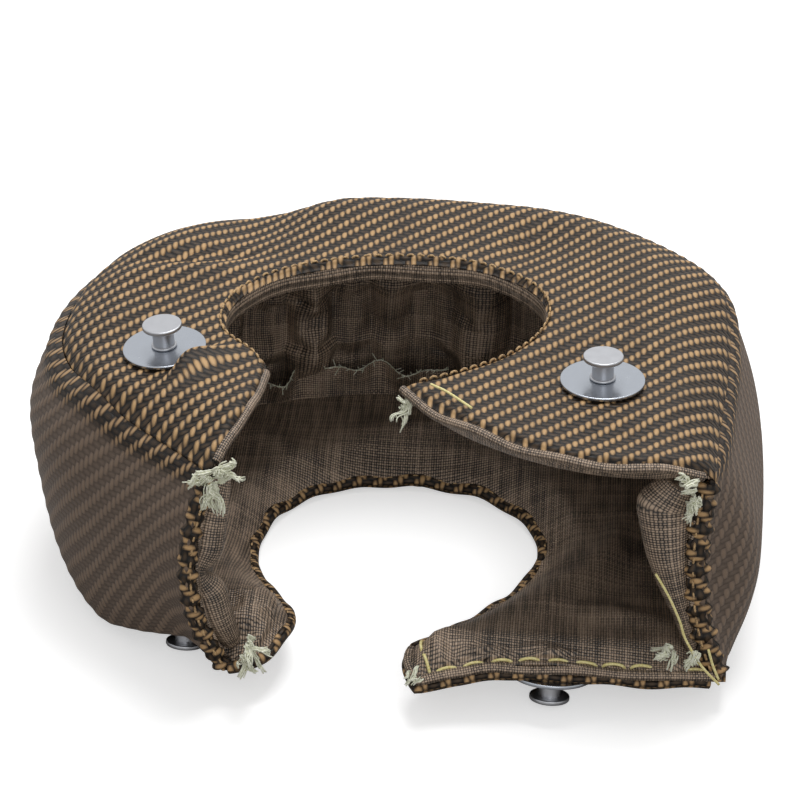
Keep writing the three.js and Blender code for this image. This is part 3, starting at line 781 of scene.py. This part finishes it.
felt_outer, felt_inner = narrowed(
    *matched(bottom_seam, bottom_opening, bottom_keys, felt_columns), 7, 5)
bottom_felt_loops = panel_loops(
    felt_outer, felt_inner, bottom_seam, bottom_opening, felt_rows,
    lambda x, y, to_seam, to_opening: bottom_fill(x, y, to_seam, to_opening) - 0.2,
    over_bottom(0.3),
)
bottom_felt = loft("bottom_felt_pad", bottom_felt_loops, bottom_felt_loops[..., :2], felt)
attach(bottom_felt, "root")
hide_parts("bottom_insulation")


# Bottom panel lining: the plain cloth is cut larger than the pad it covers. It is drawn with
# its main folds, then settled by a cloth simulation of its face on a coarse grid, with the sewn
# edges held, and only the part of the movement along the face's normal is kept.
def bottom_folds(x, y):
    return (3.0 * mound(x, y, (50, -30), 1.0, 26, 7)
            + 2.2 * mound(x, y, (64, -8), 1.3, 22, 6)
            + 2.6 * mound(x, y, (12, 62), 0.15, 30, 7)
            + 2.4 * mound(x, y, (-42, 54), -0.7, 20, 7)
            + 2.0 * mound(x, y, (-66, 20), 1.5, 22, 7)
            + 2.2 * mound(x, y, (66, -52), -0.3, 16, 6)
            + 1.8 * mound(x, y, (36, 50), -0.9, 16, 5))


def settled(loops, face_rows, across, down, growth, limit):
    face = loops[::across, :face_rows:down]
    a, b = face.shape[:2]
    i, j = np.meshgrid(np.arange(a - 1), np.arange(b - 1), indexing="ij")
    quads = np.stack([i * b + j, (i + 1) * b + j, (i + 1) * b + j + 1, i * b + j + 1], -1)
    mesh = bpy.data.meshes.new("cloth_grid")
    mesh.from_pydata((face / 1000).reshape(-1, 3).tolist(), [], quads.reshape(-1, 4).tolist())
    mesh.update()
    sheet = bpy.data.objects.new("cloth_grid", mesh)
    bpy.context.collection.objects.link(sheet)
    sewn_edge = sheet.vertex_groups.new(name="sewn")
    i, j = np.meshgrid(np.arange(a), np.arange(b), indexing="ij")
    held = (i < 2) | (i > a - 3) | (j < 2) | (j > b - 3)
    sewn_edge.add(np.flatnonzero(held.ravel()).tolist(), 1.0, "REPLACE")
    cloth = sheet.modifiers.new("cloth", "CLOTH")
    cloth.settings.vertex_group_mass = "sewn"
    cloth.settings.effector_weights.gravity = 0
    cloth.settings.mass = 0.15
    cloth.settings.bending_stiffness = 0.3
    cloth.settings.shrink_min = -growth
    cloth.settings.use_pressure = True
    cloth.settings.uniform_pressure_force = 4
    cloth.point_cache.frame_start = 1
    cloth.point_cache.frame_end = settling_frames
    for step in range(1, settling_frames + 1):
        bpy.context.scene.frame_set(step)
    spots = np.empty(a * b * 3)
    sheet.evaluated_get(bpy.context.evaluated_depsgraph_get()).data.vertices.foreach_get("co", spots)
    bpy.context.scene.frame_set(1)
    normal = np.cross(np.gradient(face, axis=0), np.gradient(face, axis=1))
    normal /= np.maximum(np.linalg.norm(normal, axis=2), 1e-9)[..., None]
    moved = spots.reshape(a, b, 3) * 1000 - face
    bpy.data.objects.remove(sheet)
    bpy.data.meshes.remove(mesh)
    behind = loops[::across, -1:] - face[:, :1]
    out = np.sign(np.einsum("ijk,ijk->ij", normal[:, :1], -behind).sum()) or 1.0
    lift = np.clip(np.einsum("ijk,ijk->ij", moved, normal) * out, -0.4, limit)
    push = normal * (lift * out)[..., None]
    at_column = np.arange(len(loops)) / across
    at_row = np.arange(face_rows) / down
    wide = np.stack([[np.interp(at_row, np.arange(b), line) for line in push[..., k]]
                     for k in range(3)], -1)
    full_push = np.stack([np.stack([np.interp(at_column, np.arange(a), wide[:, r, k])
                                    for r in range(face_rows)], 1) for k in range(3)], -1)
    fine = loops.copy()
    fine[:, :face_rows] += full_push
    return fine


settling_frames = 20
cut_larger = 0.16
most_lift = 4.5
lining_rows = 90
lining_outer, lining_inner = narrowed(
    *matched(bottom_seam, bottom_opening, bottom_keys, 640), 2.6, 0.3)
bottom_lining_loops = panel_loops(
    lining_outer, lining_inner, bottom_seam, bottom_opening, lining_rows,
    lambda x, y, to_seam, to_opening: bottom_fill(x, y, to_seam, to_opening) + lining_thickness
    + bottom_folds(x, y),
    bottom_fill,
)
bottom_lining_loops = settled(bottom_lining_loops, lining_rows, 4, 3, cut_larger, most_lift)
bottom_lining = loft("bottom_lining_cloth", bottom_lining_loops,
                     weave_place(bottom_lining_loops[..., 0], bottom_lining_loops[..., 1]),
                     lining_finish)
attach(bottom_lining, "root")
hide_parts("bottom_lining")


# Hems of the bottom panel: the twill is turned over the edge of the hole and of the front,
# with tan stitches round the hole and a pale topstitch across the right front.
def bottom_line(part, inset, height):
    return edge_line(bottom_seam, bottom_opening, bottom_keys, part, inset, height)


hole_hem = wavy(bottom_line("hole", 1.2, over_bottom(0.5)), 0.45, 19)
rolled("bottom_hole_hem", hole_hem[::2], 2.3, 1.9, cover_finish)
strands("bottom_hole_stitches",
        sewn(hole_hem + np.array([0, -0.4, 1.7]), 2.4, 1.9, rise=0.1), 0.32, tan_thread)
left_hem = bottom_line("left", 0.8, over_bottom(0.5))
rolled("bottom_left_hem", wavy(left_hem, 0.4, 15), 1.9, 1.8, cover_finish)
front_hem = bottom_line("right", 0.5, over_bottom(-0.9))
rolled("bottom_front_hem", wavy(front_hem, 0.35, 21), 1.5, 1.6, cover_finish)
front_roll = bottom_line("right", 1.2, over_bottom(1.4))
rolled("bottom_front_roll", wavy(front_roll, 0.3, 29, 2.0), 1.7, 1.4, lining_finish)
topstitch = bottom_line(
    "right", 4.6, lambda x, y, to_seam, to_opening: bottom_fill(x, y, to_seam, to_opening)
    + bottom_folds(x, y) + 1.15)
strands("front_topstitch", sewn(topstitch, 6.4, 1.3, rise=0.35, dip=0.9), 0.45, yellow_thread)


# Wall: a band of the twill between the two panels, with its own felt and lining. A place on
# it is given by its run from the left end, its rise and its depth inwards.
wall_length = (length_of(top_seam) + length_of(bottom_seam)) / 2
wall_height = 69.2
left_wall, right_wall, left_bulge, right_bulge = 8, 10, 10, -5
right_sag = 0.85


def wall_places(run, share, depth):
    around = run[:, None] / wall_length
    foot = at_shares(bottom_seam, around[:, 0])
    head = at_shares(top_seam, around[:, 0])
    way = at_shares(top_seam, np.minimum(1, around[:, 0] + 0.004)) \
        - at_shares(top_seam, np.maximum(0, around[:, 0] - 0.004))
    way /= np.hypot(*way.T)[:, None]
    zero = np.zeros(len(foot))
    drop = 7.5 * np.exp(-((run - 46) / 28) ** 2)
    low = np.maximum(bottom_top(foot[:, 0], foot[:, 1], zero) + 0.2 - drop, 0.6)
    high = top_height(head[:, 0], head[:, 1], zero) - 0.4
    h = share[None, :]
    return np.stack([
        foot[:, :1] + (head[:, :1] - foot[:, :1]) * h + way[:, 1:] * depth,
        foot[:, 1:] + (head[:, 1:] - foot[:, 1:]) * h - way[:, :1] * depth,
        low[:, None] + (high - low)[:, None] * h,
    ], -1)


def wall_face(run, share):
    left = np.exp(-(run / 14) ** 2)[:, None]
    right = np.exp(-((wall_length - run) / 14) ** 2)[:, None]
    side = blend(left_wall, right_wall, ease(run / wall_length, 0.5, 0.8))[:, None]
    bulge = side * (1 - left - right) + left_bulge * left + right_bulge * right
    sunk = share[None, :] ** blend(1, right_sag, ease(run / wall_length, 0.5, 0.8))[:, None]
    welt = 1.1 * np.exp(-(((1 - share[None, :]) * wall_height - 3.4) / 2.6) ** 2) * (1 - left - right)
    full = 3 * mound(run[:, None], share[None, :] * wall_height, (46, 8), 0, 34, 16)
    full = full + 4.2 * mound(run[:, None], share[None, :] * wall_height, (92, 54), 0, 46, 17)
    return -bulge * np.sin(np.pi * sunk) - welt - full


def wall_loops(run, face_share, back_share, face_depth, back_depth):
    face = wall_places(run, face_share, face_depth(run, face_share))
    rear = wall_places(run, back_share, back_depth(run, back_share))
    return np.concatenate([face, rear], 1)


def wall_weave(run, share):
    return weave_place(-run[:, None], (share * wall_height)[None, :], wall_turn)


sparse = np.array([1, 0.97, 0.85, 0.65, 0.4, 0.18, 0.03, 0])
# Wall twill: gap is painted shade, bright is the tan warp with a painted highlight, and the flat grey
# below the top strip is painted grazing sheen.
wall_finish = twill_finish("wall_twill", tint(0.07, 0.05, 0.035), tint(0.25, 0.20, 0.155),
                           tint(0.72, 0.59, 0.44), grazing_sheen=0.9, low_edge=39.5)
run = np.linspace(0, wall_length, 760)
rise = np.linspace(0, 1, 112)
wall_cover_loops = wall_loops(
    run, rise, sparse,
    lambda run, share: wall_face(run, share) - wale_at(wall_weave(run, share)) * 0.4 - 0.3
    + 1.6 * (1 - soft_edge(np.minimum(share, 1 - share) * wall_height, 2.4))[None, :],
    lambda run, share: wall_face(run, share) + cover_thickness,
)
wall_cover = loft("wall_cover_cloth", wall_cover_loops,
                  np.concatenate([wall_weave(run, rise), wall_weave(run, sparse)], 1), wall_finish)
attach(wall_cover, "root")
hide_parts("wall_cover")


def wall_fill(run, share):
    rise = np.minimum(share, 1 - share) * wall_height - 5
    to_end = np.minimum(run, wall_length - run)
    return 9.5 * soft_edge(rise, 20)[None, :] * soft_edge(to_end, 12)[:, None]


def wall_folds(run, share):
    turns = run / 31
    wave = np.cos(2 * np.pi * turns + np.sin(turns)) + 0.5 * np.cos(4.4 * turns)
    to_end = np.minimum(run, wall_length - run) - 12
    return 5 * np.maximum(0, wave)[:, None] * soft_edge(np.minimum(share, 1 - share), 0.3)[None, :] \
        * soft_edge(to_end, 12)[:, None]


felt_run = np.linspace(8, wall_length - 8, 160)
felt_rise = np.linspace(0.1, 0.9, 24)
wall_felt_loops = wall_loops(
    felt_run, felt_rise, felt_rise[::-1],
    lambda run, share: wall_face(run, share) + cover_thickness + 0.3,
    lambda run, share: wall_face(run, share) + cover_thickness + 0.5 + wall_fill(run, share),
)
wall_felt = loft("wall_felt_pad", wall_felt_loops, wall_felt_loops[..., :2], felt)
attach(wall_felt, "root")
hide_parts("wall_insulation")

run = np.linspace(0, wall_length, 560)
rise = np.linspace(0.05, 0.95, 84)
back_rise = np.linspace(0.95, 0.05, 10)
wall_lining_loops = wall_loops(
    run, rise, back_rise,
    lambda run, share: wall_face(run, share) + 2.8 + lining_thickness + wall_fill(run, share)
    + wall_folds(run, share),
    lambda run, share: wall_face(run, share) + 2.8 + wall_fill(run, share),
)
wall_lining_loops = settled(wall_lining_loops, len(rise), 4, 3, cut_larger, most_lift)
wall_lining = loft("wall_lining_cloth", wall_lining_loops,
                   np.concatenate([wall_weave(run, rise), wall_weave(run, back_rise)], 1),
                   lining_finish)
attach(wall_lining, "root")
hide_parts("wall_lining")


# Seam allowance inside: the raw edges of the two linings stand up in a ruffle along the foot
# of the wall, with pale yarns coming loose from the edge.
def ruffle_depth(run, share):
    out = np.clip((share - 0.08) / 0.16, 0, 1)[None, :]
    wave = np.sin(run / 3.9) + 0.7 * np.sin(run / 2.3 + 1) + 0.8 * np.sin(run / 9.5)
    return wall_face(run, share) + 16 + 3.0 * (wave[:, None] * out + out * 1.2)


ruffle_columns = 420
run = np.linspace(wall_length * 0.2, wall_length * 0.55, ruffle_columns)
rise = np.linspace(0.06, 0.24, 14)
ruffle_loops = wall_loops(run, rise, rise[::-1],
                          lambda run, share: ruffle_depth(run, share) + 0.35,
                          lambda run, share: ruffle_depth(run, share) - 0.35)
ruffle = loft("seam_ruffle", ruffle_loops,
              np.concatenate([wall_weave(run, rise), wall_weave(run, rise[::-1])], 1), lining_finish)
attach(ruffle, "root")
edge = ruffle_loops[:, len(rise) - 1]
lengths = [edge[k:k + 40] for k in range(0, ruffle_columns - 20, 21)]
raw_edge = [length + np.array([0, 0, 0.2]) + chance.normal(0, 0.12, (len(length), 3))
            for length in lengths]
raw_edge += [place + np.linspace(0, 1, 5)[:, None]
             * (chance.normal(0, 1.2, 3) + np.array([0, -0.8, 1.0])) for place in edge[::3]]
strands("seam_ruffle_fray", raw_edge, 0.13, pale_thread, 4)


# Ends of the wall: a jagged twill hem stands up each end, and beside it the lining is rolled
# over the felt, pinched half way up on the left and fullest near the top on the right.
def wall_line(run, shares, depth):
    run = np.array([float(run)])
    return wall_places(run, shares, wall_face(run, shares) + depth[None, :])[0]


ends = np.linspace(0.02, 0.955, 150)
jag = 1 + 0.16 * np.sin(ends * 97) + 0.12 * np.sin(ends * 61 + 1)
left_line = wall_line(1.4, ends, np.full(len(ends), 1.2))
rolled("left_end_hem", left_line, 1.9 * jag, 2.5 * jag, cover_finish, (1, 0, 0))
right_line = wall_line(wall_length - 1.4, ends, np.full(len(ends), 2.0))
rolled("right_end_hem", right_line, 2.0 * jag, 3.2 * jag, cover_finish, (1, 0, 0))

high = np.linspace(0.06, 0.93, 120)
pinch = 1 - 0.55 * np.exp(-((high - 0.5) / 0.07) ** 2)
tube = 5.2 * np.sin(np.pi * np.clip((high - 0.04) / 0.92, 0, 1)) ** 0.35 * pinch
rolled("left_end_roll", wall_line(3.2, high, 3.6 + 5.2 * pinch), tube * 0.9, tube,
       lining_finish, (1, 0, 0), 32)
leaf = np.interp(high, (0.06, 0.3, 0.6, 0.82, 0.93), (1.6, 3.0, 6.2, 8.0, 5.0))
rolled("right_end_roll", wall_line(wall_length - 3.4, high, 4.6 + leaf), np.minimum(leaf, 5.5), leaf,
       lining_finish, (1, 0, 0), 32)
left_face, right_face = np.array([0.1, -1.0, 0]), np.array([0, -1.0, 0])
strands("left_end_stitches",
        sewn(left_line + np.array([0.9, -1.9, 0]), 2.2, 1.6, left_face, 0.1), 0.34, tan_thread)
strands("right_end_stitches",
        sewn(right_line + np.array([-1.2, -2.1, 0]), 2.2, 1.6, right_face, 0.1), 0.34, tan_thread)


# Fraying: the felt and the cut cloth ends stand out in pale tufts at the open seams, and a
# few long sewing threads hang loose at the right front.
def tuft(place, toward, reach, spread, count):
    lines = []
    toward = np.array(toward, float) / np.linalg.norm(toward)
    share = np.linspace(0, 1, 9)[:, None]
    for k in range(count):
        if k % 9 == 0:
            clump = np.array(place) + toward * reach * chance.uniform(0, 0.3) + chance.normal(0, 0.9, 3)
            lock = toward + chance.normal(0, spread, 3)
            bend = chance.normal(0, 0.8, 3) + np.array([0, 0, -0.3])
            curl = chance.normal(0, 0.16, 3)
            long = reach * chance.uniform(0.55, 1.0)
        way = lock + chance.normal(0, 0.1, 3)
        tip = long * chance.uniform(0.7, 1.0)
        lines.append(clump + chance.normal(0, 0.28, 3)
                     + tip * (way * share + bend * share**2 * 0.5 + curl * np.sin(share * 6)))
    return lines


frays = (
    tuft((-52, -66.5, 70.5), (-0.8, -0.4, 0.25), 4.5, 0.35, 60)
    + tuft((-50, -66.5, 71), (0.75, -0.3, 0.75), 7, 0.14, 110)
    + tuft((-50.5, -67, 69), (0.1, -0.3, -0.9), 6, 0.22, 80)
    + tuft((-42, -73, 20), (0.4, -0.4, -0.4), 4, 0.45, 90)
    + tuft((-44, -72, 15), (0.3, -0.5, -0.6), 3.5, 0.4, 50)
    + tuft((80, -70, 71), (-0.9, -0.5, 0.3), 4, 0.35, 60)
    + tuft((81, -71, 66), (-0.5, -0.5, -0.9), 6.5, 0.18, 60)
    + tuft((75, -76, 21), (-0.7, -0.4, -0.3), 4.5, 0.4, 60)
    + tuft((82, -76, 19), (-0.4, -0.4, -0.5), 4, 0.4, 40)
    + tuft((2.5, -31, 74), (-0.4, -0.7, -0.4), 4.5, 0.3, 60)
    + tuft((5, -79.5, 14.5), (-0.5, -0.6, 0.1), 2.6, 0.35, 40)
)
strands("pale_tufts", frays, 0.2, pale_thread, 4)


def eased(points):
    points = np.array(points, float)
    shares = np.linspace(0, len(points) - 1, 8 * len(points))
    line = np.stack([np.interp(shares, np.arange(len(points)), points[:, k]) for k in range(3)], -1)
    for _ in range(12):
        line[1:-1] = (line[:-2] + line[1:-1] * 2 + line[2:]) / 4
    return line


loose = [
    eased([(69.8, -76, 45.5), (73.6, -77, 39), (77.3, -77, 30),
           (78.4, -76.5, 25), (83.5, -78, 16), (88.8, -78, 10)]),
    eased([(85.1, -79, 22.5), (86.5, -79.5, 17.5), (88.4, -79, 12.5)]),
    eased([(8.6, -33, 80.6), (13, -37.5, 80.9), (19.8, -46, 80.4)]),
]
strands("loose_threads", loose, 0.38, yellow_thread)


# Lacing anchors: bright zinc-plated washers behind and in front of the cloth, and satin
# alloy capstans riveted through both.
def metal_finish(name, colour, roughness, grain):
    finish = Finish(name)
    spot = finish.place("Object")
    rough = finish.noise(spot, 500.0, 4.0, 0.6) * grain + roughness
    scuff = finish.noise(spot, 2500.0, 3.0, 0.6)
    bump = finish.node("ShaderNodeBump", {}, {"Height": scuff, "Distance": 0.00002, "Strength": 0.6})
    return finish.surface(Base_Color=colour, Roughness=rough, Metallic=1.0, Normal=bump)


def turned_part(name, discs, seat, finish):
    made = []
    for radius, low, high, edge in discs:
        bpy.ops.mesh.primitive_cylinder_add(
            vertices=96, radius=radius / 1000, depth=(high - low) / 1000,
            location=(0, 0, (high + low) / 2000))
        disc = bpy.context.object
        bpy.ops.object.transform_apply(location=True, rotation=True, scale=True)
        bpy.ops.object.modifier_add(type="BEVEL")
        disc.modifiers["Bevel"].width = edge / 1000
        disc.modifiers["Bevel"].segments = 4
        disc.modifiers["Bevel"].limit_method = "ANGLE"
        bpy.ops.object.modifier_apply(modifier="Bevel")
        bpy.ops.object.shade_smooth()
        bpy.ops.object.modifier_add(type="WEIGHTED_NORMAL")
        bpy.ops.object.modifier_apply(modifier="WeightedNormal")
        made.append(disc)
    bpy.ops.object.select_all(action="DESELECT")
    for disc in made:
        disc.select_set(True)
    bpy.context.view_layer.objects.active = made[0]
    if len(made) > 1:
        bpy.ops.object.join()
    piece = bpy.context.object
    piece.name = name
    piece.data.materials.append(finish)
    piece.data.transform(seat)
    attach(piece, "root")
    bpy.ops.object.select_all(action="DESELECT")
    return piece


def seat_of(place, out):
    turn = Vector((0, 0, 1)).rotation_difference(Vector(out)).to_matrix().to_4x4()
    return Matrix.Translation((np.array(place) + ring_middle) / 1000) @ turn


washer_finish = metal_finish("bright_zinc", tint(0.66, 0.68, 0.71), 0.16, 0.16)
capstan_finish = metal_finish("satin_alloy", tint(0.68, 0.685, 0.70), 0.26, 0.2)
seats = {}
for corner, ((cx, cy), (lean_x, lean_y)) in anchors.items():
    seats[corner] = seat_of((cx, cy, top_anchor_level), (lean_x, lean_y, 1))
for corner, (cx, cy) in (("bottom_left", bottom_left_anchor), ("bottom_right", bottom_right_anchor)):
    seats[corner] = seat_of((cx, cy, support_lift), (-low_lean[0], -low_lean[1], -1))
for corner, seat in seats.items():
    washer = turned_part(f"{corner}_zinc_washer", [(12, 0.3, 1.4, 0.3)], seat, washer_finish)
    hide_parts(f"{corner}_washer")
    backing = turned_part(f"{corner}_zinc_backing", [(5, -2.5, -1.9, 0.15)], seat, washer_finish)
    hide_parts(f"{corner}_backing_washer")
    capstan = turned_part(f"{corner}_alloy_capstan", [
        (3.8, -3.5, -2.8, 0.25), (3.1, -3.0, 8.3, 0.2), (3.7, 1.42, 2.3, 0.4), (5.7, 7.5, 8.8, 0.35)],
        seat, capstan_finish)
    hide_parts(f"{corner}_capstan")


size = {"cad": cad_box, "scene": [list(corner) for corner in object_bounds()]}
